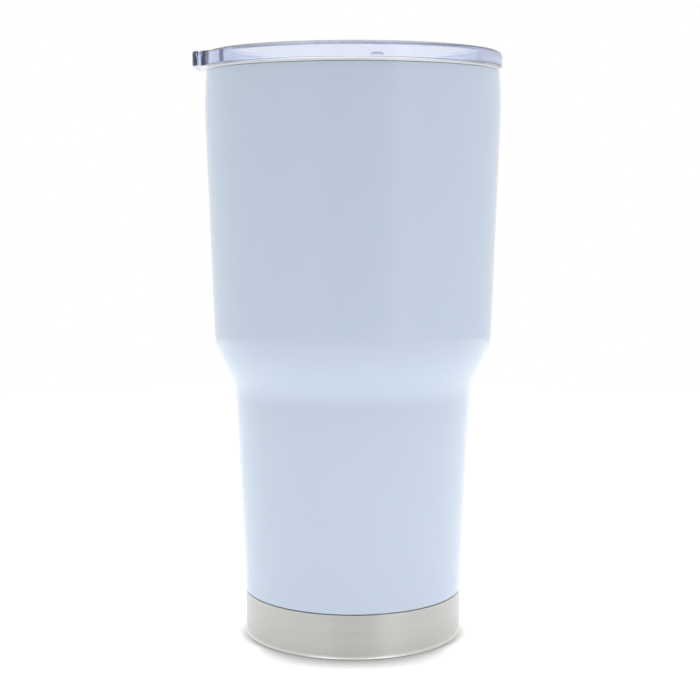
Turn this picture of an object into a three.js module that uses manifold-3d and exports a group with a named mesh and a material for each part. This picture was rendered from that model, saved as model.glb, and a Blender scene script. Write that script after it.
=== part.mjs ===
// A vacuum-insulated drinking tumbler with a clear push-in lid and a sliding closure.
// Millimetres, +Z up. The origin is on the tumbler's axis, in the plane that its foot stands on.
// The lid's lift tab points along -X and its drinking opening lies on the +X side.
import * as THREE from "three";
import { mergeVertices } from "three/addons/utils/BufferGeometryUtils.js";
import Module from "manifold-3d";

// ---- Driving dimensions -------------------------------------------------------------------

const ROUND_SEGMENTS = 36;
const ARC_STEP = THREE.MathUtils.degToRad(31);

// Outer wall: a narrow lower stage, a shoulder and a wide upper stage, each one straight in section.
const BAND = { footRadius: 38.1, topRadius: 38.4, height: 15.4 };
const FOOT_BEAD = { radius: 38.35, top: 0.6, flank: 0.25, edgeRise: 0.1, edge: 0.1 };
const LOWER_STAGE = { radius: 38.5, bottom: 15.7, slope: 0.0445 };
const SHOULDER = { bottom: 88.4, top: 102.3, radius: 48.42, bottomFillet: 16.6, topFillet: 28 };
const UPPER_STAGE = { slope: 0.0347, top: 187.8, crownFillet: 160 };
const COAT_EDGE = { radius: 50.6, z: 197.25 };
const SHELL_WALL = 0.5;
const SPIGOT = { radius: 37.4, bottom: 9 };

// Base: a drawn cup under the outer wall, and the welded plate that closes the vacuum space.
const BASE_WALL = 0.6;
const FOOT_RING = { inner: 32.6, outer: 35.4, recess: 1, slopeWidth: 1.6 };
const VACUUM_PLATE = { radius: 36.7, z: 9.3, wall: 0.5, rimTop: 12.3, dimpleRadius: 7, dimpleRise: 1.6 };
const SEAL_HOLE_RADIUS = 0.8;
const SEAL_BEAD = { radius: 3, height: 1, stemRadius: 0.5 };
const GETTER = { x: 19, radius: 4.5, height: 2 };
const CLIP = { wall: 0.3, width: 5, footLength: 3, gap: 0.25 };

// Inner wall: it follows the outer wall at the insulated thickness and widens to the mouth.
const INSULATED_WALL = 6;
const LINER_WALL = 0.4;
const LINER_FLOOR = { z: 15.2, fillet: 8 };
const MOUTH = { radius: 48.2, seatBottom: 182, neckBottom: 172, fillet: 9 };
const LIP = { radius: 50.4, bottom: 197.4, top: 198.4, rounding: 0.3 };

// Lid: a flange over the lip, a dish that holds the closure, and a plug with a groove for the gasket.
const FLANGE = { radius: 51.5, bottom: 198.6, top: 203.7, topRounding: 1.7, bottomRounding: 0.4 };
const DISH = { topRadius: 43.2, floorRadius: 42.9, floor: 196, fillet: 2.5, edge: 1.2 };
const FLOOR_THICKNESS = 2.2;
const PLUG = { radius: 47.4, innerRadius: 43.4, bottom: 186.6, edge: 0.8 };
const GROOVE = { radius: 45.6, bottom: 189.6, top: 194.2 };
const TAB = { reach: 54.6, tipRadius: 3.7, rootRadius: 3.2, sideAngle: 78, bevel: 0.6 };
const OPENING = { minX: 30, maxX: 38, halfWidth: 10.5, cornerRadius: 3.4 };
const VENT = { x: -36, radius: 1.25 };
const GASKET = { inner: 45.8, outer: 47.3, finRadius: 48.05, bottom: 189.9, top: 193.9, finHeight: 0.6 };

// Closure: a slider under two overhanging rails, with a soft pad that covers the opening.
const RAIL = { inner: 14, wall: 2, overhang: 1.1, minX: -13.5, maxX: 38.8, top: 199.9, capHeight: 0.95 };
const STOP = { x: -12.3, length: 1.7, height: 1.2 };
const SLIDER = { tailX: 4, noseRadius: 41.1, halfWidth: 13.6, bottom: 196.3, wingTop: 198.6 };
const DECK = { halfWidth: 12.5, top: 199.6, cornerRadius: 2 };
const GRIP = { backX: 6.1, crestX: 10, valleyX: 11.5, frontX: 15, halfWidth: 6, top: 202.7, hollow: 3 };
const PAD = { minX: 28.4, maxX: 39.4, halfWidth: 12, cornerRadius: 3, bottom: 196.12, top: 197.3 };
const PAD_GAP = 0.2;

// ---- Helpers ------------------------------------------------------------------------------

const wasm = await Module();
wasm.setup();

// Turns a closed outline of corners [x, y, radius] into points, with an arc at each corner that has a radius.
function rounded(corners) {
  const at = (i) => {
    const [x, y] = corners[(i + corners.length) % corners.length];
    return new THREE.Vector2(x, y);
  };
  return corners.flatMap(([, , radius = 0], i) => {
    const corner = at(i);
    if (radius === 0) return [corner];
    const back = at(i - 1).sub(corner).normalize();
    const ahead = at(i + 1).sub(corner).normalize();
    const halfAngle = Math.acos(THREE.MathUtils.clamp(back.dot(ahead), -1, 1)) / 2;
    const centre = back.clone().add(ahead).setLength(radius / Math.sin(halfAngle)).add(corner);
    const first = back.multiplyScalar(radius / Math.tan(halfAngle)).add(corner).sub(centre);
    const last = ahead.multiplyScalar(radius / Math.tan(halfAngle)).add(corner).sub(centre);
    const turn = Math.atan2(first.cross(last), first.dot(last));
    const steps = Math.max(2, Math.ceil(Math.abs(turn) / ARC_STEP));
    return Array.from({ length: steps + 1 }, (_, k) =>
      first.clone().rotateAround(new THREE.Vector2(), (turn * k) / steps).add(centre));
  });
}

// A solid of revolution about Z from corners [radius, z, rounding], given anticlockwise.
function turned(corners) {
  const points = rounded(corners);
  if (points[0].x > 0) points.push(points[0].clone());
  return new THREE.LatheGeometry(points, ROUND_SEGMENTS).rotateX(Math.PI / 2);
}

// A plate from corners [x, y, rounding], between two heights.
function plate(corners, bottom, top) {
  const shape = new THREE.Shape(rounded(corners));
  const options = { depth: top - bottom, bevelEnabled: false };
  return new THREE.ExtrudeGeometry(shape, options).translate(0, 0, bottom);
}

function rectangle(minX, maxX, halfWidth, radius = 0) {
  return [
    [minX, -halfWidth, radius],
    [maxX, -halfWidth, radius],
    [maxX, halfWidth, radius],
    [minX, halfWidth, radius],
  ];
}

function solid(geometry) {
  const bare = geometry.clone();
  bare.deleteAttribute("normal");
  bare.deleteAttribute("uv");
  const merged = mergeVertices(bare, 1e-4);
  const vertProperties = merged.getAttribute("position").array;
  const triVerts = new Uint32Array(merged.index.array);
  return new wasm.Manifold(new wasm.Mesh({ numProp: 3, vertProperties, triVerts }));
}

function geometryOf(manifold) {
  const { vertProperties, triVerts } = manifold.getMesh();
  const geometry = new THREE.BufferGeometry();
  geometry.setAttribute("position", new THREE.BufferAttribute(vertProperties, 3));
  geometry.setIndex(new THREE.BufferAttribute(triVerts, 1));
  geometry.computeVertexNormals();
  return geometry;
}

const joined = (...geometries) => geometries.map(solid).reduce((sum, next) => sum.add(next));

const lowerRadius = (z) => LOWER_STAGE.radius + LOWER_STAGE.slope * (z - LOWER_STAGE.bottom);
const upperRadius = (z) => SHOULDER.radius + UPPER_STAGE.slope * (z - SHOULDER.top);

// ---- Insulated body -----------------------------------------------------------------------

// Corners of the shoulder on a wall that lies inset inside the outer surface, from the bottom up.
function shoulderCorners(inset) {
  return [
    [lowerRadius(SHOULDER.bottom) - inset, SHOULDER.bottom, SHOULDER.bottomFillet + inset],
    [SHOULDER.radius - inset, SHOULDER.top, SHOULDER.topFillet - inset],
  ];
}

function outerShell() {
  const crown = (inset) => [upperRadius(UPPER_STAGE.top) - inset, UPPER_STAGE.top, UPPER_STAGE.crownFillet];
  return turned([
    [SPIGOT.radius, SPIGOT.bottom],
    [SPIGOT.radius, LOWER_STAGE.bottom],
    [LOWER_STAGE.radius, LOWER_STAGE.bottom, 0.2],
    ...shoulderCorners(0),
    crown(0),
    [COAT_EDGE.radius, COAT_EDGE.z],
    [COAT_EDGE.radius - SHELL_WALL, COAT_EDGE.z],
    crown(SHELL_WALL),
    ...shoulderCorners(SHELL_WALL).reverse(),
    [LOWER_STAGE.radius - SHELL_WALL, LOWER_STAGE.bottom + 2 * SHELL_WALL],
    [SPIGOT.radius - SHELL_WALL, LOWER_STAGE.bottom - SHELL_WALL],
    [SPIGOT.radius - SHELL_WALL, SPIGOT.bottom],
  ]);
}

function baseCup() {
  const { inner, outer, recess, slopeWidth } = FOOT_RING;
  return turned([
    [0, recess],
    [inner - slopeWidth, recess],
    [inner, 0],
    [outer, 0],
    [FOOT_BEAD.radius, FOOT_BEAD.edgeRise, FOOT_BEAD.edge],
    [FOOT_BEAD.radius, FOOT_BEAD.top - FOOT_BEAD.flank],
    [BAND.footRadius, FOOT_BEAD.top],
    [BAND.topRadius, BAND.height],
    [BAND.topRadius - BASE_WALL, BAND.height],
    [BAND.footRadius - BASE_WALL, FOOT_BEAD.edgeRise + BASE_WALL],
    [outer, BASE_WALL],
    [inner, BASE_WALL],
    [inner - slopeWidth, recess + BASE_WALL],
    [0, recess + BASE_WALL],
  ]);
}

function vacuumPlate() {
  const { radius, z, wall, rimTop, dimpleRadius, dimpleRise } = VACUUM_PLATE;
  return turned([
    [SEAL_HOLE_RADIUS, z + dimpleRise],
    [dimpleRadius - 1, z + dimpleRise],
    [dimpleRadius, z],
    [radius, z, 1.2],
    [radius, rimTop],
    [radius - wall, rimTop],
    [radius - wall, z + wall, 0.7],
    [dimpleRadius, z + wall],
    [dimpleRadius - 1, z + wall + dimpleRise],
    [SEAL_HOLE_RADIUS, z + wall + dimpleRise],
  ]);
}

// A frit bead in the plate's dimple, with a stem in the hole through which the space was evacuated.
function vacuumSeal() {
  const plateFace = VACUUM_PLATE.z + VACUUM_PLATE.dimpleRise;
  const top = plateFace - 0.15;
  return turned([
    [0, top - SEAL_BEAD.height],
    [SEAL_BEAD.radius * 0.6, top - SEAL_BEAD.height, 0.6],
    [SEAL_BEAD.radius, top],
    [SEAL_BEAD.stemRadius, top],
    [SEAL_BEAD.stemRadius, plateFace + VACUUM_PLATE.wall],
    [0, plateFace + VACUUM_PLATE.wall],
  ]);
}

const getterSeat = VACUUM_PLATE.z + VACUUM_PLATE.wall + 0.1;

function getter() {
  const pellet = new THREE.CylinderGeometry(GETTER.radius, GETTER.radius, GETTER.height, 24);
  return pellet.rotateX(Math.PI / 2).translate(GETTER.x, 0, getterSeat + GETTER.height / 2);
}

// A strap over the pellet, welded to the plate by its two feet.
function getterClip() {
  const { wall, width, footLength, gap } = CLIP;
  const legX = GETTER.radius + gap;
  const roof = GETTER.height + gap;
  const strap = new THREE.Shape(rounded([
    [-legX - footLength, 0],
    [-legX, 0],
    [-legX, roof],
    [legX, roof],
    [legX, 0],
    [legX + footLength, 0],
    [legX + footLength, wall],
    [legX + wall, wall],
    [legX + wall, roof + wall, 0.5],
    [-legX - wall, roof + wall, 0.5],
    [-legX - wall, wall],
    [-legX - footLength, wall],
  ]));
  const geometry = new THREE.ExtrudeGeometry(strap, { depth: width, bevelEnabled: false });
  return geometry.translate(0, 0, -width / 2).rotateX(Math.PI / 2).translate(GETTER.x, 0, getterSeat);
}

function innerLiner() {
  // Corners of one face of the liner, from the floor's centre up to the mouth.
  const face = (outward) => {
    const inset = INSULATED_WALL - outward;
    const floor = LINER_FLOOR.z - outward;
    return [
      [0, floor],
      [lowerRadius(floor) - inset, floor, LINER_FLOOR.fillet + outward],
      ...shoulderCorners(inset),
      [upperRadius(MOUTH.neckBottom) - inset, MOUTH.neckBottom, MOUTH.fillet],
      [MOUTH.radius + outward, MOUTH.seatBottom, MOUTH.fillet],
    ];
  };
  return turned([
    ...face(LINER_WALL),
    [MOUTH.radius + LINER_WALL, LIP.bottom],
    [LIP.radius, LIP.bottom, LIP.rounding],
    [LIP.radius, LIP.top, LIP.rounding],
    [MOUTH.radius, LIP.top, LIP.rounding],
    ...face(0).reverse(),
  ]);
}

// ---- Lid ----------------------------------------------------------------------------------

// Corners along an arc, between two angles in degrees.
function arc(x, y, radius, from, to, steps) {
  return Array.from({ length: steps + 1 }, (_, i) => {
    const angle = THREE.MathUtils.degToRad(from + ((to - from) * i) / steps);
    return [x + radius * Math.cos(angle), y + radius * Math.sin(angle)];
  });
}

// The lift tab, with a bevel above and below. In plan each of its sides is an S: a round corner at the
// tip turns straight into a root fillet against the flange's rim.
function liftTab() {
  const { reach, tipRadius, rootRadius, sideAngle, bevel } = TAB;
  const tipX = reach - tipRadius;
  const side = THREE.MathUtils.degToRad(sideAngle);
  const rootX = tipX + (tipRadius + rootRadius) * Math.cos(side);
  const rootY = Math.sqrt((FLANGE.radius + rootRadius) ** 2 - rootX ** 2);
  const tipY = rootY - (tipRadius + rootRadius) * Math.sin(side);
  const rimAngle = THREE.MathUtils.radToDeg(Math.atan2(rootY, rootX));
  const half = [
    ...arc(tipX, tipY, tipRadius, 0, sideAngle, 3),
    ...arc(rootX, rootY, rootRadius, sideAngle + 180, rimAngle + 180, 3).slice(1),
    [DISH.topRadius + 1, rootY],
  ];
  const left = half.map(([x, y]) => new THREE.Vector2(-x, y));
  const right = half.map(([x, y]) => new THREE.Vector2(-x, -y)).reverse();
  const outline = new THREE.Shape([...left, ...right]);
  const options = {
    depth: FLANGE.top - FLANGE.bottom - 2 * bevel,
    bevelThickness: bevel,
    bevelSize: bevel,
    bevelOffset: -bevel,
    bevelSegments: 2,
  };
  return new THREE.ExtrudeGeometry(outline, options).translate(0, 0, FLANGE.bottom + bevel);
}

// A rail beside the slider's track, on side +1 or -1, whose cap overhangs the slider's wing.
function rail(side) {
  const { inner, wall, overhang, top, capHeight, minX, maxX } = RAIL;
  const section = new THREE.Shape(rounded([
    [inner, DISH.floor - 0.5],
    [inner + wall, DISH.floor - 0.5],
    [inner + wall, top, 0.5],
    [inner - overhang, top, 0.3],
    [inner - overhang, top - capHeight],
    [inner, top - capHeight],
  ]));
  const bar = new THREE.ExtrudeGeometry(section, { depth: maxX - minX, bevelEnabled: false });
  const alongX = bar.rotateX(Math.PI / 2).rotateZ(Math.PI / 2).translate(minX, 0, 0);
  return side > 0 ? alongX : alongX.rotateZ(Math.PI).translate(minX + maxX, 0, 0);
}

function lidBody() {
  const floorUnderside = DISH.floor - FLOOR_THICKNESS;
  const moulding = turned([
    [0, floorUnderside],
    [PLUG.innerRadius, floorUnderside, 1.5],
    [PLUG.innerRadius, PLUG.bottom, PLUG.edge],
    [PLUG.radius, PLUG.bottom, PLUG.edge],
    [PLUG.radius, GROOVE.bottom],
    [GROOVE.radius, GROOVE.bottom],
    [GROOVE.radius, GROOVE.top],
    [PLUG.radius, GROOVE.top],
    [PLUG.radius, FLANGE.bottom],
    [FLANGE.radius, FLANGE.bottom, FLANGE.bottomRounding],
    [FLANGE.radius, FLANGE.top, FLANGE.topRounding],
    [DISH.topRadius, FLANGE.top, DISH.edge],
    [DISH.floorRadius, DISH.floor, DISH.fillet],
    [0, DISH.floor],
  ]);
  const stop = plate(
    rectangle(STOP.x, STOP.x + STOP.length, RAIL.inner),
    DISH.floor - 0.5,
    DISH.floor + STOP.height,
  );
  const opening = plate(
    rectangle(OPENING.minX, OPENING.maxX, OPENING.halfWidth, OPENING.cornerRadius),
    floorUnderside - 1,
    DISH.floor + 1,
  );
  const vent = new THREE.CylinderGeometry(VENT.radius, VENT.radius, FLOOR_THICKNESS + 2, 16);
  vent.rotateX(Math.PI / 2).translate(VENT.x, 0, DISH.floor - FLOOR_THICKNESS / 2);
  return geometryOf(
    joined(moulding, liftTab(), rail(1), rail(-1), stop)
      .subtract(solid(opening))
      .subtract(solid(vent)),
  );
}

// A soft ring in the plug's groove, with two fins that wipe the mouth.
function lidGasket() {
  const { inner, outer, finRadius, bottom, top, finHeight } = GASKET;
  const fin = (z) => [
    [outer, z],
    [finRadius, z + 0.7 * finHeight],
    [finRadius, z + finHeight],
    [outer, z + 1.4 * finHeight],
  ];
  return turned([
    [inner, bottom],
    [outer, bottom],
    ...fin(bottom + 0.5),
    ...fin(top - 1.5),
    [outer, top],
    [inner, top],
  ]);
}

// ---- Closure ------------------------------------------------------------------------------

// The slider's outline at a half width: a square tail, and a nose that follows the dish's wall.
function sliderOutline(halfWidth) {
  const noseAngle = Math.asin(halfWidth / SLIDER.noseRadius);
  const nose = Array.from({ length: 7 }, (_, i) => {
    const angle = noseAngle * (i / 3 - 1);
    return [SLIDER.noseRadius * Math.cos(angle), SLIDER.noseRadius * Math.sin(angle)];
  });
  return [
    [SLIDER.tailX, -halfWidth, DECK.cornerRadius],
    ...nose,
    [SLIDER.tailX, halfWidth, DECK.cornerRadius],
  ];
}

// A thumb grip across the slider: upright at the back, and hollowed towards the drink opening.
function grip() {
  const { backX, crestX, valleyX, frontX, halfWidth, top, hollow } = GRIP;
  const section = new THREE.Shape(rounded([
    [backX, DECK.top - 0.5],
    [frontX, DECK.top - 0.5],
    [frontX, DECK.top],
    [valleyX, DECK.top + 0.15, hollow],
    [crestX, top, 0.4],
    [backX, top, 0.6],
  ]));
  const bar = new THREE.ExtrudeGeometry(section, { depth: 2 * halfWidth, bevelEnabled: false });
  return bar.rotateX(Math.PI / 2).translate(0, halfWidth, 0);
}

function slider() {
  const wings = plate(sliderOutline(SLIDER.halfWidth), SLIDER.bottom, SLIDER.wingTop);
  const deck = plate(sliderOutline(DECK.halfWidth), SLIDER.wingTop - 0.5, DECK.top);
  const { minX, maxX, halfWidth, cornerRadius, top } = PAD;
  const pocket = plate(
    rectangle(minX - PAD_GAP, maxX + PAD_GAP, halfWidth + PAD_GAP, cornerRadius),
    SLIDER.bottom - 1,
    top + PAD_GAP,
  );
  return geometryOf(joined(wings, deck, grip()).subtract(solid(pocket)));
}

function sliderPad() {
  return plate(rectangle(PAD.minX, PAD.maxX, PAD.halfWidth, PAD.cornerRadius), PAD.bottom, PAD.top);
}

// ---- Materials and assembly ---------------------------------------------------------------

function material(color, roughness, metalness, opacity = 1) {
  return new THREE.MeshStandardMaterial({
    color,
    roughness,
    metalness,
    opacity,
    transparent: opacity < 1,
  });
}

const coat = material(0xc3d0e0, 0.18, 0);
const brushedSteel = material(0xc2c1be, 0.32, 1);
const linerSteel = material(0xc9c8c5, 0.25, 1);
const sealGlass = material(0x4a4038, 0.2, 0);
const getterAlloy = material(0x77777a, 0.6, 0.8);
const clearPlastic = material(0xe6eaf8, 0.05, 0, 0.35);
const silicone = material(0xe9edf2, 0.55, 0, 0.8);

function piece(name, geometry, surface) {
  const mesh = new THREE.Mesh(geometry, surface);
  mesh.name = name;
  return mesh;
}

const body = new THREE.Group();
body.add(
  piece("outer_shell", outerShell(), coat),
  piece("base_cup", baseCup(), brushedSteel),
  piece("inner_liner", innerLiner(), linerSteel),
  piece("vacuum_plate", vacuumPlate(), brushedSteel),
  piece("vacuum_seal", vacuumSeal(), sealGlass),
  piece("getter", getter(), getterAlloy),
  piece("getter_clip", getterClip(), brushedSteel),
);

const closure = new THREE.Group();
closure.add(piece("slider", slider(), clearPlastic), piece("slider_pad", sliderPad(), silicone));

const lid = new THREE.Group();
lid.add(piece("lid_body", lidBody(), clearPlastic), piece("lid_gasket", lidGasket(), silicone), closure);

const tumbler = new THREE.Group();
tumbler.add(body, lid);

export default tumbler;
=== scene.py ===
"""A vacuum-insulated tumbler with a coated body, a bare base band and a clear push-in lid with a slider.

Sections are drawn in millimetres, +Z up, on the CAD frame's own origin and axes, and scaled to metres.
"""
import math

import bmesh
import bpy
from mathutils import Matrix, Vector


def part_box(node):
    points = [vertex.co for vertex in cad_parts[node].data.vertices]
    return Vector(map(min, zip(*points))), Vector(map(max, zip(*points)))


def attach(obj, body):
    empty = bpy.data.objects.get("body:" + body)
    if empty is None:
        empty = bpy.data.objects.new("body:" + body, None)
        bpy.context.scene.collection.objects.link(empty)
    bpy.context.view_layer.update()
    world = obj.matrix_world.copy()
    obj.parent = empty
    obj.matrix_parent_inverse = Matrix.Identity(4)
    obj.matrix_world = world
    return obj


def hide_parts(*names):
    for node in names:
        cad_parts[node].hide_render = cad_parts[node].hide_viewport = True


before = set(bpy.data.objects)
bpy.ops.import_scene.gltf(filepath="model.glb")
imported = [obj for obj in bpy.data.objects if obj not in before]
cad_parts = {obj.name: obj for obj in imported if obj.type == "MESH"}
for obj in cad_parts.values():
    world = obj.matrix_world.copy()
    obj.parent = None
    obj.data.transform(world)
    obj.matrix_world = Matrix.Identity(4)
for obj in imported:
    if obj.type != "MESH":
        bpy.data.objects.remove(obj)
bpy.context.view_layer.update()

MM = 0.001
ROUND_SEGMENTS = 240
ARC_STEP = math.radians(7)
SHARP_ANGLE = math.radians(28)
BEVEL_SEGMENTS = 3
# Points nearer than this, in millimetres, are one point.
WELD = 1e-4


# ---- Where the CAD says each piece is -----------------------------------------------------------

def low(node, axis="z"):
    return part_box(node)[0]["xyz".index(axis)] / MM


def high(node, axis="z"):
    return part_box(node)[1]["xyz".index(axis)] / MM


# ---- Mesh helpers -------------------------------------------------------------------------------

def rounded(corners, step=ARC_STEP):
    """Turns a closed outline of corners (x, y, radius) into points, with an arc at each radius."""
    count = len(corners)
    points = []
    for i, corner in enumerate(corners):
        here = Vector(corner[:2])
        radius = corner[2] if len(corner) > 2 else 0
        if radius == 0:
            points.append(here)
            continue
        back = (Vector(corners[i - 1][:2]) - here).normalized()
        ahead = (Vector(corners[(i + 1) % count][:2]) - here).normalized()
        half = math.acos(max(-1, min(1, back.dot(ahead)))) / 2
        centre = here + (back + ahead).normalized() * (radius / math.sin(half))
        first = here + back * (radius / math.tan(half)) - centre
        last = here + ahead * (radius / math.tan(half)) - centre
        turn = math.atan2(first.x * last.y - first.y * last.x, first.dot(last))
        steps = max(3, math.ceil(abs(turn) / step))
        for k in range(steps + 1):
            a = turn * k / steps
            cos, sin = math.cos(a), math.sin(a)
            points.append(centre + Vector((first.x * cos - first.y * sin, first.x * sin + first.y * cos)))
    return points


def finish_mesh(bm, name):
    """Closes a bmesh drawn in millimetres into an object in metres, with outward normals."""
    bmesh.ops.remove_doubles(bm, verts=bm.verts, dist=WELD)
    bmesh.ops.recalc_face_normals(bm, faces=bm.faces)
    bmesh.ops.scale(bm, vec=(MM, MM, MM), verts=bm.verts)
    mesh = bpy.data.meshes.new(name)
    bm.to_mesh(mesh)
    bm.free()
    piece = bpy.data.objects.new(name, mesh)
    bpy.context.scene.collection.objects.link(piece)
    return piece


def turned(name, corners, segments=ROUND_SEGMENTS, step=ARC_STEP):
    """A solid of revolution about Z from corners (radius, z, rounding).

    An outline that starts on the axis is open there, and any other one closes on itself.
    """
    bm = bmesh.new()
    rings = []
    for p in rounded(corners, step):
        if p.x < WELD:
            rings.append([bm.verts.new((0, 0, p.y))])
            continue
        ring = []
        for i in range(segments):
            a = 2 * math.pi * i / segments
            ring.append(bm.verts.new((p.x * math.cos(a), p.x * math.sin(a), p.y)))
        rings.append(ring)
    starts_on_axis = len(rings[0]) == 1
    for i in range(len(rings) - starts_on_axis):
        a, b = rings[i], rings[(i + 1) % len(rings)]
        if len(a) == 1 and len(b) == 1:
            continue
        for k in range(segments):
            n = (k + 1) % segments
            if len(a) == 1:
                bm.faces.new((a[0], b[n], b[k]))
            elif len(b) == 1:
                bm.faces.new((a[k], a[n], b[0]))
            else:
                bm.faces.new((a[k], a[n], b[n], b[k]))
    return finish_mesh(bm, name)


def plate(name, corners, bottom, top, edge=0.0, edge_bottom=None):
    """A plate from corners (x, y, rounding), with its upper and lower edges rounded off."""
    bm = bmesh.new()
    verts = [bm.verts.new((p.x, p.y, bottom)) for p in rounded(corners)]
    underside = bm.faces.new(verts)
    lifted = bmesh.ops.extrude_face_region(bm, geom=[underside])["geom"]
    moved = [g for g in lifted if isinstance(g, bmesh.types.BMVert)]
    bmesh.ops.translate(bm, verts=moved, vec=(0, 0, top - bottom))
    edge_bottom = edge if edge_bottom is None else edge_bottom
    for z, size in ((top, edge), (bottom, edge_bottom)):
        if size > 0:
            rim = [e for e in bm.edges if all(abs(v.co.z - z) < WELD for v in e.verts)]
            bmesh.ops.bevel(bm, geom=rim, offset=size, segments=BEVEL_SEGMENTS, profile=0.5, affect="EDGES")
    return finish_mesh(bm, name)


def swept(name, section, start, end, along="x"):
    """A straight bar with a section of corners (across, up, rounding), from start to end along an axis."""
    bm = bmesh.new()
    profile = rounded(section)

    def place(p, s):
        return (s, p.x, p.y) if along == "x" else (p.x, s, p.y)

    first = [bm.verts.new(place(p, start)) for p in profile]
    last = [bm.verts.new(place(p, end)) for p in profile]
    bm.faces.new(first)
    bm.faces.new(last)
    for i in range(len(profile)):
        n = (i + 1) % len(profile)
        bm.faces.new((first[i], first[n], last[n], last[i]))
    return finish_mesh(bm, name)


def shifted(piece, x):
    """Moves a finished mesh along X, in millimetres."""
    for vertex in piece.data.vertices:
        vertex.co.x += x * MM
    return piece


def rectangle(min_x, max_x, half_width, radius=0.0):
    """Corners of a rectangle that is symmetrical about the X axis."""
    return [
        (min_x, -half_width, radius),
        (max_x, -half_width, radius),
        (max_x, half_width, radius),
        (min_x, half_width, radius),
    ]


def combine(piece, tools, operation):
    """Adds the tools to a piece, or cuts them away, one at a time, and removes them."""
    for tool in tools:
        modifier = piece.modifiers.new("combine", "BOOLEAN")
        modifier.operation = operation
        modifier.solver = "EXACT"
        modifier.object = tool
        graph = bpy.context.evaluated_depsgraph_get()
        result = bpy.data.meshes.new_from_object(piece.evaluated_get(graph))
        piece.modifiers.clear()
        old = piece.data
        piece.data = result
        bpy.data.meshes.remove(old)
        bpy.data.objects.remove(tool)
    return piece


def smooth(piece):
    """Cleans up a piece's mesh and shades it smoothly, apart from its sharp edges."""
    bm = bmesh.new()
    bm.from_mesh(piece.data)
    bmesh.ops.remove_doubles(bm, verts=bm.verts, dist=2 * WELD * MM)
    bmesh.ops.dissolve_degenerate(bm, edges=bm.edges, dist=WELD * MM)
    for face in bm.faces:
        face.smooth = True
    for e in bm.edges:
        e.smooth = len(e.link_faces) == 2 and e.calc_face_angle(0) < SHARP_ANGLE
    bm.to_mesh(piece.data)
    bm.free()
    weighted = piece.modifiers.new("normals", "WEIGHTED_NORMAL")
    weighted.keep_sharp = True


def declare(piece, body, node, material):
    """Puts a finished piece on its body, in place of its CAD node."""
    smooth(piece)
    piece.data.materials.clear()
    piece.data.materials.append(material)
    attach(piece, body)
    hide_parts(node)


# ---- Materials ----------------------------------------------------------------------------------

# Where nearly all of a noise texture's values lie.
NOISE_LOW, NOISE_HIGH = 0.3, 0.7


class Nodes:
    """A node tree, with short ways to add and join nodes."""

    def __init__(self, tree):
        self.tree = tree

    def plug(self, socket, value):
        if isinstance(value, bpy.types.NodeSocket):
            self.tree.links.new(value, socket)
        else:
            socket.default_value = value

    def add(self, kind, inputs=(), **settings):
        node = self.tree.nodes.new(kind)
        for key, value in settings.items():
            setattr(node, key, value)
        for key, value in dict(inputs).items():
            self.plug(node.inputs[key], value)
        return node

    def math(self, operation, a, b=0.0):
        return self.add("ShaderNodeMath", {0: a, 1: b}, operation=operation).outputs[0]

    def split(self, vector):
        return self.add("ShaderNodeSeparateXYZ", {0: vector}).outputs

    def span(self, value, low_out, high_out, low_in=NOISE_LOW, high_in=NOISE_HIGH):
        """Maps a value's range onto another, and stops at its ends."""
        ends = {"From Min": low_in, "From Max": high_in, "To Min": low_out, "To Max": high_out}
        return self.add("ShaderNodeMapRange", {"Value": value, **ends}).outputs["Result"]

    def coordinates(self, kind):
        return self.add("ShaderNodeTexCoord").outputs[kind]


class Surface(Nodes):
    """A material with one Principled shader."""

    def __init__(self, name, color, roughness, metallic=0.0, **sockets):
        self.material = bpy.data.materials.new(name)
        self.material.use_nodes = True
        super().__init__(self.material.node_tree)
        self.shader = self.tree.nodes["Principled BSDF"]
        self.output = self.tree.nodes["Material Output"]
        self.set("Base Color", (*color, 1))
        self.set("Roughness", roughness)
        self.set("Metallic", metallic)
        for socket, value in sockets.items():
            self.set(socket.replace("_", " "), value)

    def set(self, socket, value):
        self.plug(self.shader.inputs[socket], value)

    def position(self):
        return self.coordinates("Object")

    def noise(self, vector, scale, detail=2.0, roughness=0.5):
        inputs = {"Vector": vector, "Scale": scale, "Detail": detail, "Roughness": roughness}
        return self.add("ShaderNodeTexNoise", inputs).outputs["Fac"]

    def mix(self, factor, a, b):
        """Mixes two colours, each one a socket or three numbers."""
        node = self.add("ShaderNodeMix", data_type="RGBA")
        factor_in, a_in, b_in = node.inputs[0], node.inputs[6], node.inputs[7]
        self.plug(factor_in, factor)
        for socket, color in ((a_in, a), (b_in, b)):
            self.plug(socket, (*color, 1) if isinstance(color, tuple) else color)
        return node.outputs[2]

    def mottle(self, pattern, dark, light):
        """Varies the base colour between two tones with a noise pattern."""
        self.set("Base Color", self.mix(self.span(pattern, 0.0, 1.0), dark, light))

    def bump(self, height, distance, strength):
        inputs = {"Height": height, "Distance": distance, "Strength": strength}
        self.set("Normal", self.add("ShaderNodeBump", inputs).outputs["Normal"])

    def polar(self, across, around, up):
        """A vector of radius, angle and height about the object's Z axis, each one scaled."""
        x, y, z = self.split(self.position())
        radius = self.math("SQRT", self.math("ADD", self.math("MULTIPLY", x, x), self.math("MULTIPLY", y, y)))
        angle = self.math("ARCTAN2", y, x)
        parts = {
            "X": self.math("MULTIPLY", radius, across),
            "Y": self.math("MULTIPLY", angle, around),
            "Z": self.math("MULTIPLY", z, up),
        }
        return self.add("ShaderNodeCombineXYZ", parts).outputs[0]


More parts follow.
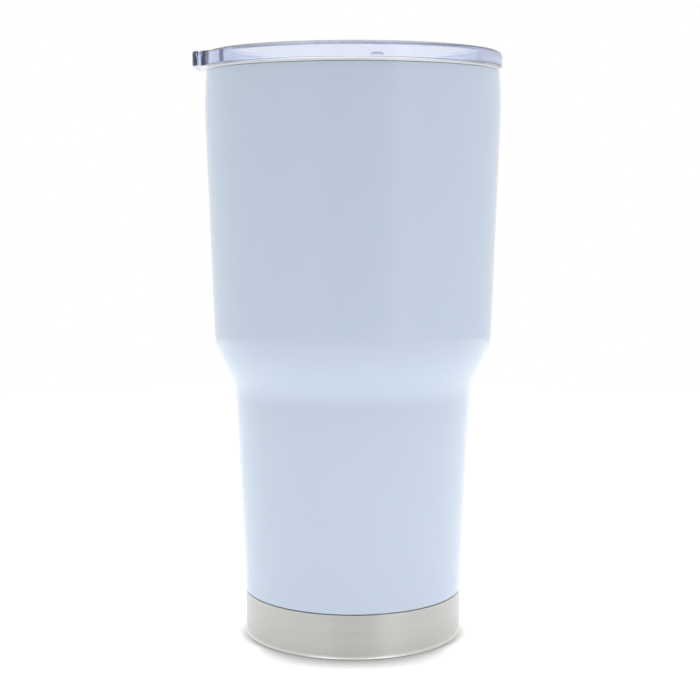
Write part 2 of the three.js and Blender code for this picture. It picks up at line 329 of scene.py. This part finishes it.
def coat_material():
    """Smooth gloss coat: a faint orange peel and a slight unevenness in tone."""
    s = Surface("gloss_coat", (0.573, 0.661, 0.783), 0.10, IOR=1.5)
    where = s.position()
    s.mottle(s.noise(where, scale=14, detail=3), dark=(0.569, 0.657, 0.779), light=(0.577, 0.665, 0.787))
    s.set("Roughness", s.span(s.noise(where, scale=90), 0.085, 0.115))
    s.bump(s.noise(where, scale=420, roughness=0.45), distance=0.00002, strength=0.25)
    return s.material


def turned_steel(name, color, roughness, grain, anisotropy, lines, rim_highlight=0.0):
    """Steel with fine lines that run round the axis and a faint cloudiness.

    lines is the lines' scale and grain their depth in metres. With the last argument, the lowest millimetre
    is brighter by that share: a painted highlight along the bottom edge, where light would catch it.
    """
    s = Surface(name, color, roughness, 1.0, Anisotropic=anisotropy, Anisotropic_Rotation=0.25)
    uneven = 0.07
    rim_highlight_full, rim_highlight_end = 0.0006, 0.0013
    fine = s.noise(s.polar(lines, 1.2, lines), scale=1.0, detail=3, roughness=0.6)
    broad = s.noise(s.polar(lines / 6, 0.6, lines / 6), scale=1.0)
    cloud = s.noise(s.position(), scale=30)
    streaks = s.math("ADD", s.math("MULTIPLY", fine, 0.6), s.math("MULTIPLY", broad, 0.4))
    tone = s.math("ADD", s.math("MULTIPLY", streaks, 0.7), s.math("MULTIPLY", cloud, 0.3))
    dark = tuple(c * 0.93 for c in color)
    light = tuple(min(1.0, c * 1.05) for c in color)
    metal = s.mix(s.span(tone, 0.0, 1.0), dark, light)
    # Painted highlight: the lowest millimetre of the steel is made lighter, standing in for light caught by
    # the bottom edge.
    if rim_highlight:
        bright = tuple(min(1.0, c * (1 + rim_highlight)) for c in color)
        height = s.split(s.position())["Z"]
        metal = s.mix(s.span(height, 1.0, 0.0, rim_highlight_full, rim_highlight_end), metal, bright)
    s.set("Base Color", metal)
    s.set("Roughness", s.span(streaks, roughness - uneven, roughness + uneven))
    s.bump(streaks, distance=grain, strength=0.5)
    s.set("Tangent", s.add("ShaderNodeTangent", direction_type="RADIAL", axis="Z").outputs[0])
    return s.material


def clear_material(name, tint, density, roughness):
    """Clear moulded plastic, tinted by its depth, with a trace of haze and a very faint ripple."""
    s = Surface(name, (0.95, 0.96, 1.0), roughness, IOR=1.49, Transmission_Weight=0.95)
    s.set("Roughness", s.span(s.noise(s.position(), scale=60), roughness * 0.6, roughness * 1.5))
    s.bump(s.noise(s.position(), scale=140, detail=1), distance=0.00002, strength=0.08)
    depth = s.add("ShaderNodeVolumeAbsorption", {"Color": (*tint, 1), "Density": density})
    s.plug(s.output.inputs["Volume"], depth.outputs[0])
    return s.material


def silicone_material():
    """Soft translucent silicone with a fine matt skin."""
    s = Surface("silicone", (0.80, 0.83, 0.87), 0.42, IOR=1.41, Transmission_Weight=0.35)
    where = s.position()
    s.mottle(s.noise(where, scale=70), dark=(0.78, 0.81, 0.85), light=(0.84, 0.87, 0.90))
    s.set("Roughness", s.span(s.noise(where, scale=500, detail=3), 0.36, 0.5))
    s.bump(s.noise(where, scale=2400), distance=0.00002, strength=0.3)
    return s.material


def frit_material():
    """Dark fused glass with a slightly crazed top."""
    s = Surface("fused_glass", (0.07, 0.05, 0.035), 0.18, IOR=1.6)
    where = s.position()
    s.mottle(s.noise(where, scale=900, detail=4), dark=(0.05, 0.035, 0.025), light=(0.11, 0.085, 0.06))
    s.set("Roughness", s.span(s.noise(where, scale=1500), 0.12, 0.3))
    s.bump(s.noise(where, scale=1200, detail=3), distance=0.00008, strength=0.5)
    return s.material


def sintered_material():
    """Pressed and sintered metal powder."""
    s = Surface("sintered_metal", (0.22, 0.22, 0.23), 0.6, 0.8)
    grains = s.noise(s.position(), scale=3200, detail=4, roughness=0.65)
    s.mottle(grains, dark=(0.15, 0.15, 0.155), light=(0.31, 0.305, 0.30))
    s.set("Roughness", s.span(grains, 0.5, 0.75))
    s.bump(grains, distance=0.0001, strength=0.6)
    return s.material


COAT = coat_material()
BASE_STEEL = turned_steel(
    "brushed_base_steel", (0.562, 0.553, 0.533), 0.36,
    grain=0.000012, anisotropy=0.9, lines=2600, rim_highlight=0.45)
LINER_STEEL = turned_steel(
    "liner_steel", (0.90, 0.91, 0.92), 0.5, grain=0.000008, anisotropy=0.3, lines=1800)
PLATE_STEEL = turned_steel(
    "pressed_steel", (0.58, 0.575, 0.56), 0.38, grain=0.00001, anisotropy=0.3, lines=900)
PLASTIC_TINT = (0.40, 0.56, 1.0)
CLEAR = clear_material("clear_lid_plastic", PLASTIC_TINT, density=26, roughness=0.02)
CLEAR_SLIDER = clear_material("clear_slider_plastic", PLASTIC_TINT, density=24, roughness=0.03)
SILICONE = silicone_material()
FRIT = frit_material()
SINTERED = sintered_material()


# ---- Insulated body -----------------------------------------------------------------------------

BAND_TOP = high("base_cup")
BAND_SEAM = 0.3
SHELL_BOTTOM = BAND_TOP + BAND_SEAM
SHELL_TOP = high("outer_shell")
LOWER = {"radius": 38.5, "slope": 0.0445}
SHOULDER = {"bottom": 88.4, "top": 102.3, "radius": 48.42, "bottom_fillet": 16.6, "top_fillet": 28.0}
UPPER = {"slope": 0.0347, "top": 187.8, "crown_fillet": 160.0}
COAT_EDGE_RADIUS = 50.6
SHELL_WALL = 0.5
BASE_WALL = 0.6
INSULATED_WALL = 6.0
LINER_WALL = 0.4


def lower_radius(z):
    return LOWER["radius"] + LOWER["slope"] * (z - SHELL_BOTTOM)


def upper_radius(z):
    return SHOULDER["radius"] + UPPER["slope"] * (z - SHOULDER["top"])


def shoulder(inset):
    """The shoulder's corners on a wall that lies inset inside the outer surface, from the bottom up."""
    return [
        (lower_radius(SHOULDER["bottom"]) - inset, SHOULDER["bottom"], SHOULDER["bottom_fillet"] + inset),
        (SHOULDER["radius"] - inset, SHOULDER["top"], SHOULDER["top_fillet"] - inset),
    ]


def outer_shell():
    spigot = 37.4
    bottom = low("outer_shell")

    def crown(inset):
        return (upper_radius(UPPER["top"]) - inset, UPPER["top"], UPPER["crown_fillet"])

    return turned("outer_shell_coated", [
        (spigot, bottom),
        (spigot, SHELL_BOTTOM),
        (LOWER["radius"], SHELL_BOTTOM, 0.22),
        *shoulder(0),
        crown(0),
        (COAT_EDGE_RADIUS, SHELL_TOP, 0.15),
        (COAT_EDGE_RADIUS - SHELL_WALL, SHELL_TOP, 0.2),
        crown(SHELL_WALL),
        *reversed(shoulder(SHELL_WALL)),
        (LOWER["radius"] - SHELL_WALL, SHELL_BOTTOM + 2 * SHELL_WALL),
        (spigot - SHELL_WALL, SHELL_BOTTOM - SHELL_WALL),
        (spigot - SHELL_WALL, bottom),
    ], step=math.radians(2.2))


def base_cup():
    """A band that widens upwards from a bead, on a foot ring round a flat with a shallow step in it."""
    foot, top, edge_rise = 38.1, 38.4, 0.1
    bead, bead_top, bead_flank = 38.35, 0.6, 0.25
    ring, ring_outer, slope, recess = 32.6, 35.4, 1.6, 1.0
    step_radius, step_width, step_rise = 23.0, 0.8, 0.15
    return turned("base_cup_brushed", [
        (0, recess + step_rise),
        (step_radius - step_width, recess + step_rise, 0.5),
        (step_radius, recess, 0.5),
        (ring - slope, recess, 0.5),
        (ring, 0, 0.5),
        (ring_outer, 0, 0.3),
        (bead, edge_rise, 0.1),
        (bead, bead_top - bead_flank, 0.08),
        (foot, bead_top, 0.05),
        (top, BAND_TOP, 0.15),
        (top - BASE_WALL, BAND_TOP, 0.15),
        (foot - BASE_WALL, edge_rise + BASE_WALL, 0.3),
        (ring_outer, BASE_WALL),
        (ring, BASE_WALL),
        (ring - slope, recess + BASE_WALL),
        (0, recess + BASE_WALL + step_rise),
    ])


def liner():
    """A wall parallel to the outer one, which widens at the neck to the lid's seat and ends in the lip."""
    mouth, seat, neck, blend = 48.2, 182.0, 172.0, 9.0
    lip_height = 1.05
    top = high("inner_liner")
    lip_radius = high("inner_liner", "x")
    lip_bottom = top - lip_height
    floor_z, floor_fillet = 15.2, 8.0

    def face(outward):
        inset = INSULATED_WALL - outward
        floor = floor_z - outward
        return [
            (0, floor),
            (lower_radius(floor) - inset, floor, floor_fillet + outward),
            *shoulder(inset),
            (upper_radius(neck) - inset, neck, blend),
            (mouth + outward, seat, blend),
        ]

    return turned("inner_liner_steel", [
        *face(LINER_WALL),
        (mouth + LINER_WALL, lip_bottom, 0.3),
        (lip_radius, lip_bottom, 0.3),
        (lip_radius, top, 0.42),
        (mouth, top, 0.35),
        *reversed(face(0)),
    ], step=math.radians(3.5))


def vacuum_plate():
    z = low("vacuum_plate")
    radius = high("vacuum_plate", "x")
    rim = high("vacuum_plate")
    wall, dimple, dimple_slope, rise, hole = 0.5, 7.0, 1.0, 1.6, 0.8
    return turned("vacuum_plate_pressed", [
        (hole, z + rise, 0.1),
        (dimple - dimple_slope, z + rise, 0.8),
        (dimple, z, 0.5),
        (radius, z, 1.2),
        (radius, rim, 0.2),
        (radius - wall, rim, 0.2),
        (radius - wall, z + wall, 0.7),
        (dimple, z + wall, 0.8),
        (dimple - dimple_slope, z + wall + rise, 0.5),
        (hole, z + wall + rise, 0.1),
    ], segments=180)


def vacuum_seal():
    bottom, top = low("vacuum_seal"), high("vacuum_seal")
    radius, stem, shelf = high("vacuum_seal", "x"), 0.5, bottom + 1.0
    return turned("vacuum_seal_bead", [
        (0, bottom),
        (radius * 0.6, bottom, 0.9),
        (radius, shelf, 0.15),
        (stem, shelf, 0.1),
        (stem, top, 0.15),
        (0, top),
    ], segments=96)


def getter():
    bottom, top, left, right = low("getter"), high("getter"), low("getter", "x"), high("getter", "x")
    radius, dent = (right - left) / 2, 0.2
    pellet = turned("getter_pellet", [
        (0, bottom),
        (radius, bottom, 0.3),
        (radius, top, 0.3),
        (radius * 0.45, top, 0.2),
        (radius * 0.4, top - dent, 0.15),
        (0, top - dent),
    ], segments=96)
    return shifted(pellet, (left + right) / 2)


def getter_clip():
    lo, hi = (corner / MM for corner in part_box("getter_clip"))
    wall, foot = 0.3, 3.0
    left, right = lo.x + foot, hi.x - foot
    section = [
        (lo.x, lo.z),
        (left, lo.z),
        (left, hi.z - wall, 0.2),
        (right, hi.z - wall, 0.2),
        (right, lo.z),
        (hi.x, lo.z),
        (hi.x, lo.z + wall),
        (right + wall, lo.z + wall, 0.2),
        (right + wall, hi.z, 0.5),
        (left - wall, hi.z, 0.5),
        (left - wall, lo.z + wall, 0.2),
        (lo.x, lo.z + wall),
    ]
    return swept("getter_clip_strap", section, lo.y, hi.y, along="y")


declare(outer_shell(), "cup", "outer_shell", COAT)
declare(base_cup(), "cup", "base_cup", BASE_STEEL)
declare(liner(), "cup", "inner_liner", LINER_STEEL)
declare(vacuum_plate(), "cup", "vacuum_plate", PLATE_STEEL)
declare(vacuum_seal(), "cup", "vacuum_seal", FRIT)
declare(getter(), "cup", "getter", SINTERED)
declare(getter_clip(), "cup", "getter_clip", PLATE_STEEL)


# ---- Lid ----------------------------------------------------------------------------------------

FLANGE_RADIUS = high("lid_body", "x")
FLANGE_TOP = high("lid_body")
FLANGE_DEPTH = 5.1
FLANGE_BOTTOM = FLANGE_TOP - FLANGE_DEPTH
PLUG_BOTTOM = low("lid_body")
DISH_FLOOR = 196.0
FLOOR_WALL = 2.2
DISH_TOP_RADIUS = 43.2
DISH_FLOOR_RADIUS = 42.9
RAIL_INNER = 14.0
TAB = {"tip": 3.7, "root": 3.2, "side": 78.0, "edge": 0.8, "edge_bottom": 0.4, "overlap": 2.2}
STOP = {"start": -12.3, "end": -10.6, "height": 1.2}
OPENING = {"start": 30.0, "end": 38.0, "half_width": 10.5, "corner": 3.4}
VENT = {"x": -36, "radius": 1.25}
# How deep a raised feature is rooted in the wall under it, and how far a cut reaches past a wall.
ROOT = 0.5
CUT = 1


def arc(x, y, radius, start, end, steps=10):
    """Corners along an arc between two angles in degrees."""
    corners = []
    for i in range(steps + 1):
        a = math.radians(start + (end - start) * i / steps)
        corners.append((x + radius * math.cos(a), y + radius * math.sin(a)))
    return corners


def lift_tab():
    """In plan each side of the tab is an S: a round tip corner that turns into a root fillet at the rim."""
    reach = -low("lid_body", "x")
    tip, root, side = TAB["tip"], TAB["root"], TAB["side"]
    tip_x = reach - tip
    root_x = tip_x + (tip + root) * math.cos(math.radians(side))
    root_y = math.sqrt((FLANGE_RADIUS + root) ** 2 - root_x ** 2)
    tip_y = root_y - (tip + root) * math.sin(math.radians(side))
    rim_angle = math.degrees(math.atan2(root_y, root_x))
    half = [
        *arc(tip_x, tip_y, tip, 0, side),
        *arc(root_x, root_y, root, side + 180, rim_angle + 180)[1:],
        (DISH_TOP_RADIUS + TAB["overlap"], root_y),
    ]
    outline = [(-x, y) for x, y in half] + [(-x, -y) for x, y in reversed(half)]
    return plate("tab", outline, FLANGE_BOTTOM, FLANGE_TOP, TAB["edge"], TAB["edge_bottom"])


def rail(side):
    """A rail that hooks over the slider's edge, on the side +1 or -1."""
    wall, overhang, cap, top, start, end = 2.0, 1.1, 0.95, 199.9, -13.5, 38.8
    section = [
        (side * RAIL_INNER, DISH_FLOOR - ROOT),
        (side * (RAIL_INNER + wall), DISH_FLOOR - ROOT),
        (side * (RAIL_INNER + wall), top, 0.5),
        (side * (RAIL_INNER - overhang), top, 0.3),
        (side * (RAIL_INNER - overhang), top - cap, 0.2),
        (side * RAIL_INNER, top - cap, 0.2),
    ]
    return swept("rail", section, start, end)


def lid_body():
    underside = DISH_FLOOR - FLOOR_WALL
    plug, plug_inner, groove = 47.4, 43.4, 45.6
    groove_bottom, groove_top = 189.6, 194.2
    moulding = turned("lid_body_clear", [
        (0, underside),
        (plug_inner, underside, 1.5),
        (plug_inner, PLUG_BOTTOM, 0.8),
        (plug, PLUG_BOTTOM, 0.8),
        (plug, groove_bottom, 0.2),
        (groove, groove_bottom, 0.2),
        (groove, groove_top, 0.2),
        (plug, groove_top, 0.2),
        (plug, FLANGE_BOTTOM, 0.3),
        (FLANGE_RADIUS, FLANGE_BOTTOM, 0.4),
        (FLANGE_RADIUS, FLANGE_TOP, 1.7),
        (DISH_TOP_RADIUS, FLANGE_TOP, 1.2),
        (DISH_FLOOR_RADIUS, DISH_FLOOR, 2.5),
        (0, DISH_FLOOR),
    ], step=math.radians(11))
    stop_outline = rectangle(STOP["start"], STOP["end"], RAIL_INNER + ROOT)
    stop = plate("stop", stop_outline, DISH_FLOOR - ROOT, DISH_FLOOR + STOP["height"])
    combine(moulding, [lift_tab(), rail(1), rail(-1), stop], "UNION")
    below, above = underside - CUT, DISH_FLOOR + CUT
    opening_outline = rectangle(OPENING["start"], OPENING["end"], OPENING["half_width"], OPENING["corner"])
    opening = plate("opening", opening_outline, below, above)
    vent_outline = [(0, below), (VENT["radius"], below), (VENT["radius"], above), (0, above)]
    vent = shifted(turned("vent", vent_outline, segments=48), VENT["x"])
    return combine(moulding, [opening, vent], "DIFFERENCE")


def lid_gasket():
    bottom, top = low("lid_gasket"), high("lid_gasket")
    inner, outer, reach, height = 45.8, 47.3, high("lid_gasket", "x"), 0.6
    lower_fin, upper_fin = bottom + 0.5, top - 1.5

    def fin(z):
        return [
            (outer, z, 0.15),
            (reach, z + 0.7 * height, 0.12),
            (reach, z + height, 0.12),
            (outer, z + 1.4 * height, 0.15),
        ]

    return turned("lid_gasket_ring", [
        (inner, bottom, 0.2),
        (outer, bottom, 0.2),
        *fin(lower_fin),
        *fin(upper_fin),
        (outer, top, 0.2),
        (inner, top, 0.2),
    ], step=math.radians(20))


declare(lid_body(), "lid", "lid_body", CLEAR)
declare(lid_gasket(), "lid", "lid_gasket", SILICONE)


# ---- Closure ------------------------------------------------------------------------------------

def slider_outline(half_width):
    """A plate with a square tail and a nose that follows the dish's wall."""
    tail, nose, corner = low("slider", "x"), high("slider", "x"), 2.0
    angle = math.degrees(math.asin(half_width / nose))
    return [(tail, -half_width, corner), *arc(0, 0, nose, -angle, angle, 16), (tail, half_width, corner)]


def grip(deck_top, top):
    """A thumb grip across the slider: upright at the back, and hollowed towards the drink opening."""
    half_width, back, ridge, hollow, front = 6.0, 6.1, 10.0, 11.5, 15.0
    section = [
        (back, deck_top - ROOT),
        (front, deck_top - ROOT),
        (front, deck_top),
        (hollow, deck_top + 0.15, 3.0),
        (ridge, top, 0.4),
        (back, top, 0.6),
    ]
    return swept("grip", section, -half_width, half_width, along="y")


def pad_outline(gap=0.0):
    corner = 3.0
    left, right, half_width = low("slider_pad", "x"), high("slider_pad", "x"), high("slider_pad", "y")
    return rectangle(left - gap, right + gap, half_width + gap, corner)


def slider():
    """Wings that run under the rails, a narrower deck between them, the grip and a pocket for the pad."""
    bottom, top = low("slider"), high("slider")
    wing_top, deck_top, wide, narrow, gap = 198.6, 199.6, 13.6, 12.5, 0.2
    wings = plate("slider_clear", slider_outline(wide), bottom, wing_top, edge=0.25)
    deck = plate("deck", slider_outline(narrow), wing_top - ROOT, deck_top, edge=0.3, edge_bottom=0)
    combine(wings, [deck, grip(deck_top, top)], "UNION")
    pocket = plate("pocket", pad_outline(gap), bottom - CUT, high("slider_pad") + gap)
    return combine(wings, [pocket], "DIFFERENCE")


def slider_pad():
    return plate("slider_pad_soft", pad_outline(), low("slider_pad"), high("slider_pad"), edge=0.2)


declare(slider(), "slider", "slider", CLEAR_SLIDER)
declare(slider_pad(), "slider", "slider_pad", SILICONE)


# ---- Floor, light and camera --------------------------------------------------------------------

def floor():
    """A pale table top that fades to grey close in front of the foot, as under a soft light from behind.

    Only what the camera sees fades, so the grey is a painted shadow: the table's mirror image in the object
    stays white. The reach of the fading shrinks from the front of the foot to its sides.
    """
    radius, segments, drop = 650, 128, 0.02
    pale, black, white = (0.86,) * 3, (0.0,) * 3, (1.0,) * 3
    bm = bmesh.new()
    rim = []
    for i in range(segments):
        a = 2 * math.pi * i / segments
        rim.append(bm.verts.new((radius * math.cos(a), radius * math.sin(a), -drop)))
    bm.faces.new(rim)
    table = finish_mesh(bm, "floor")
    s = Surface("pale_floor", pale, 0.9, Emission_Strength=0.38)
    s.set("Roughness", s.span(s.noise(s.position(), scale=40), 0.85, 0.95))
    depth = s.split(s.position())["Y"]
    reach = s.span(depth, 0.020, 0.006, low_in=-0.040, high_in=-0.025)
    towards_foot = {"Distance": reach, "Normal": (0, 0.9, 0.43)}
    # Painted shadow: occlusion towards the foot darkens the floor's colour and glow, for camera rays only.
    open_sky = s.add("ShaderNodeAmbientOcclusion", towards_foot, samples=16).outputs["AO"]
    covered = s.span(open_sky, 1.0, 0.0, low_in=0.35, high_in=0.87)
    in_front = s.span(depth, 1.0, 0.25, low_in=-0.020, high_in=0.003)
    direct = s.add("ShaderNodeLightPath").outputs["Is Camera Ray"]
    shade = s.math("MULTIPLY", s.math("MULTIPLY", covered, in_front), direct)
    s.set("Base Color", s.mix(shade, pale, black))
    s.set("Emission Color", s.mix(shade, white, black))
    table.data.materials.append(s.material)


# Degrees round from the camera's side, and brightness: the gap, a thin bright strip, then the boxes.
SURROUNDINGS = [
    (-180, 1.0), (-160, 0.95), (-125, 0.82), (-95, 0.62), (-60, 0.60), (-28, 0.66), (-17, 0.34),
    (22, 0.34), (29, 0.55), (34, 1.05), (42, 1.10), (48, 0.90), (60, 0.76), (90, 0.64), (125, 0.74),
    (160, 0.92), (180, 1.0),
]
PEAK = 1.25


def studio():
    """Surroundings that light the object from behind and the sides, and are plain white to the camera."""
    scene = bpy.context.scene
    scene.view_settings.view_transform = "Standard"
    scene.view_settings.look = "None"
    # Light passes through many walls of the clear lid before it gets out.
    bounces = 64
    scene.cycles.max_bounces = bounces
    scene.cycles.transmission_bounces = bounces
    world = bpy.data.worlds.new("studio")
    scene.world = world
    world.use_nodes = True
    world.node_tree.nodes.clear()
    nodes = Nodes(world.node_tree)
    x, y, _ = nodes.split(nodes.coordinates("Generated"))
    angle = nodes.math("ARCTAN2", x, nodes.math("MULTIPLY", y, -1))
    turn = nodes.span(angle, 0.0, 1.0, low_in=-math.pi, high_in=math.pi)
    ramp = nodes.add("ShaderNodeValToRGB", {"Fac": turn})
    elements = ramp.color_ramp.elements
    for i, (degrees, level) in enumerate(SURROUNDINGS):
        at = (degrees + 180) / 360
        stop = elements[i] if i < 2 else elements.new(at)
        stop.position = at
        stop.color = (level / PEAK, level / PEAK, level / PEAK, 1)
    lit = nodes.add("ShaderNodeBackground", {"Color": ramp.outputs["Color"], "Strength": PEAK})
    seen = nodes.add("ShaderNodeBackground", {"Color": (1, 1, 1, 1), "Strength": 1.0})
    direct = nodes.add("ShaderNodeLightPath").outputs["Is Camera Ray"]
    either = nodes.add("ShaderNodeMixShader", {0: direct, 1: lit.outputs[0], 2: seen.outputs[0]})
    nodes.add("ShaderNodeOutputWorld", {"Surface": either.outputs[0]})


def overhead_light():
    """One soft box above the object, facing down at it."""
    light = bpy.data.lights.new("overhead", "AREA")
    light.shape = "SQUARE"
    light.size = 0.9
    light.energy = 6
    lamp = bpy.data.objects.new("overhead", light)
    lamp.location = (0, 0.05, 0.95)
    lamp.rotation_mode = "QUATERNION"
    lamp.rotation_quaternion = (-lamp.location).to_track_quat("-Z", "Y")
    bpy.context.scene.collection.objects.link(lamp)


def camera():
    """A little below the lid's height, and tipped down by a few degrees."""
    pitch = 6.49
    data = bpy.data.cameras.new("camera")
    data.sensor_width = 36
    data.lens = 75.975
    data.clip_start, data.clip_end = 0.01, 10
    view = bpy.data.objects.new("camera", data)
    view.location = (-1.02 * MM, -519.4 * MM, 159.56 * MM)
    view.rotation_euler = (math.radians(90 - pitch), 0, 0)
    bpy.context.scene.collection.objects.link(view)
    bpy.context.scene.camera = view


floor()
studio()
overhead_light()
camera()
